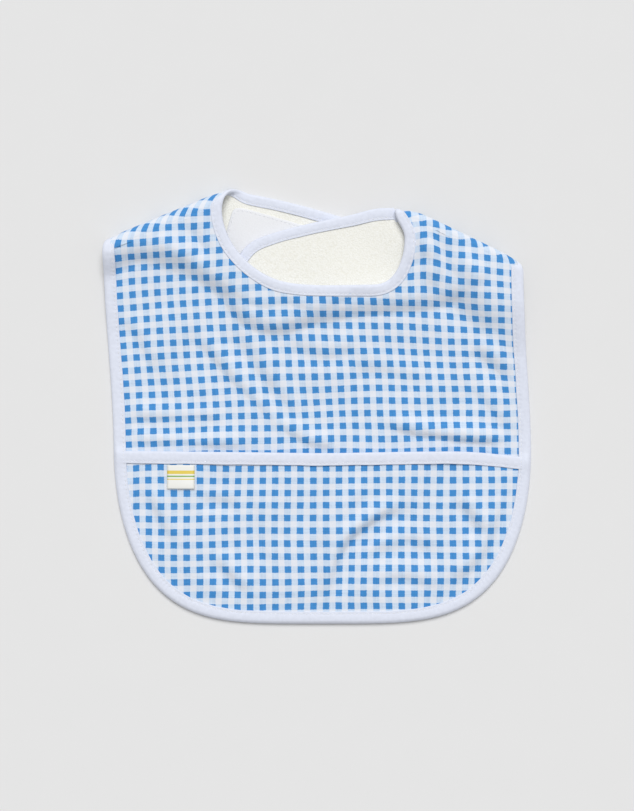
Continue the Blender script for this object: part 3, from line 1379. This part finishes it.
def add_patch(name, fold, start, length, z, thick, cloth):
    """A fastening patch: a plate with rounded corners and edges whose face rises a little to its middle.
    Distance out from the middle is carried to the rim of a rounded rectangle along each ray."""
    angle = STRAP_ANGLE[fold.side]
    ahead = np.array([math.cos(angle), math.sin(angle)])
    down = np.array([ahead[1], -ahead[0]]) * (1 if fold.side == "left" else -1)
    corner = fold.strap_neck + ahead * start + down * 9.5
    middle = corner + ahead * length / 2 + down * 15.0
    around = np.linspace(0, 2 * np.pi, 97)[:-1]
    power = 9.0
    reach = (np.abs(np.cos(around)) ** power + np.abs(np.sin(around)) ** power) ** (-1 / power)
    outline = np.stack([np.cos(around) * reach * length / 2, np.sin(around) * reach * 15.0], -1)
    share = np.array([0.05, 0.2, 0.4, 0.6, 0.8, 0.93, 0.98, 1, 1, 0.98, 0.9, 0.5, 0.05])
    level = np.array([0.5, 0.5, 0.5, 0.5, 0.5, 0.48, 0.4, 0.15, -0.2, -0.45, -0.5, -0.5, -0.5])
    plan = outline[None] * share[:, None, None]
    x = middle[0] + plan[..., 0] * ahead[0] + plan[..., 1] * down[0]
    y = middle[1] + plan[..., 0] * ahead[1] + plan[..., 1] * down[1]
    points = np.stack([x, y, z + level[:, None] * thick + sag(fold, x, y)], -1)
    rings, count = x.shape
    at = np.arange(rings * count).reshape(rings, count)
    nxt = np.roll(at, -1, 1)
    faces = np.stack([at[:-1], at[1:], nxt[1:], nxt[:-1]], -1).reshape(-1, 4)
    made = add_mesh(name, points.reshape(-1, 3), faces, None, cloth)
    close_ends(made)
    rim = middle + (outline * (1 - 3.0 / np.array([length, 30.0]))) @ np.stack([ahead, down])
    rim = even_steps(np.vstack([rim, rim[:1]]), 0.7)
    return made, rim


class BIB_OT_patches(bpy.types.Operator):
    """Sews the loop patch on the left strap and the hook patch under the right one"""

    bl_idname = "bib.patches"
    bl_label = "Fastening patches"

    def execute(self, context):
        loop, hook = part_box("loop_patch"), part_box("hook_patch")
        z = (loop[0].z + loop[1].z) / 2 / MM
        cloth = pile_cloth("nylon loop tape, brushed", 900.0, 0.97)
        made, rim = add_patch("loop_pad", LEFT, -6.0, 70.0, z, 0.7, cloth)
        piece(made, "left_strap", ["loop_patch"])
        points = np.column_stack([rim, z + 0.22 + sag(LEFT, rim[:, 0], rim[:, 1])])
        edge = Edge(points, np.tile([0, 0, 1.0], (len(rim), 1)), np.full(len(rim), 1.0))
        lines = [(edge, np.zeros(len(rim)), np.full(len(rim), 0.2))]
        seam = stitches("loop_stitches", lines, thread_cloth())
        piece(seam, "left_strap", ["loop_patch_seam"])
        z = (hook[0].z + hook[1].z) / 2 / MM
        cloth = pile_cloth("nylon hook tape, moulded", 1500.0, 0.8)
        made, _ = add_patch("hook_pad", RIGHT, 51.0, 38.0, z, 0.5, cloth)
        piece(made, "right_strap", ["hook_patch"])
        return {"FINISHED"}


class BIB_OT_stage(bpy.types.Operator):
    """Sets the floor, the soft light and the camera straight above"""

    bl_idname = "bib.stage"
    bl_label = "Stage"

    def execute(self, context):
        scene = context.scene
        side = 9000.0
        corners = side * np.array([[-1.0, -1, 0], [1, -1, 0], [1, 1, 0], [-1, 1, 0]])
        floor = add_mesh("floor", corners, np.array([[0, 1, 2, 3]]), None, paper_floor())
        world = bpy.data.worlds.new("soft room")
        world.use_nodes = True
        world.node_tree.nodes["Background"].inputs[0].default_value = (1.0, 1.0, 1.0, 1.0)
        world.node_tree.nodes["Background"].inputs[1].default_value = 0.4
        scene.world = world
        data = bpy.data.lights.new("large soft panel", "SUN")
        data.energy, data.angle = 2.15, math.radians(34)
        made = bpy.data.objects.new("large soft panel", data)
        made.location = (0.1, 0.8, 1.3)
        made.rotation_euler = made.location.to_track_quat("Z", "Y").to_euler()
        scene.collection.objects.link(made)
        data = bpy.data.cameras.new("above")
        data.sensor_fit, data.sensor_width, data.lens = "HORIZONTAL", 36.0, 100.0
        camera = bpy.data.objects.new("above", data)
        camera.location = (0.0, 0.0, 0.4026 * data.lens / data.sensor_width)
        scene.collection.objects.link(camera)
        scene.camera = camera
        scene.view_settings.view_transform = "Standard"
        return {"FINISHED"}


OPERATORS = [
    BIB_OT_front, BIB_OT_left_strap, BIB_OT_right_strap, BIB_OT_binding, BIB_OT_pocket, BIB_OT_label,
    BIB_OT_patches, BIB_OT_stage,
]


class BIB_PT_panel(bpy.types.Panel):
    """Sizes, colours and the pieces to make"""

    bl_idname = "BIB_PT_panel"
    bl_label = "Gingham bib"
    bl_space_type = "VIEW_3D"
    bl_region_type = "UI"
    bl_category = "Bib"

    def draw(self, context):
        layout = self.layout
        for group in (context.scene.bib_sizes, context.scene.bib_colours):
            box = layout.box()
            for key in group.__annotations__:
                box.prop(group, key)
        for operator in OPERATORS:
            layout.operator(operator.bl_idname)


CLASSES = [BibSizes, BibColours, *OPERATORS, BIB_PT_panel]


def register():
    for one in CLASSES:
        bpy.utils.register_class(one)
    bpy.types.Scene.bib_sizes = PointerProperty(type=BibSizes)
    bpy.types.Scene.bib_colours = PointerProperty(type=BibColours)


def unregister():
    del bpy.types.Scene.bib_sizes
    del bpy.types.Scene.bib_colours
    for one in reversed(CLASSES):
        bpy.utils.unregister_class(one)


def main():
    register()
    for operator in OPERATORS:
        group, name = operator.bl_idname.split(".")
        getattr(getattr(bpy.ops, group), name)()


if __name__ == "__main__":
    main()
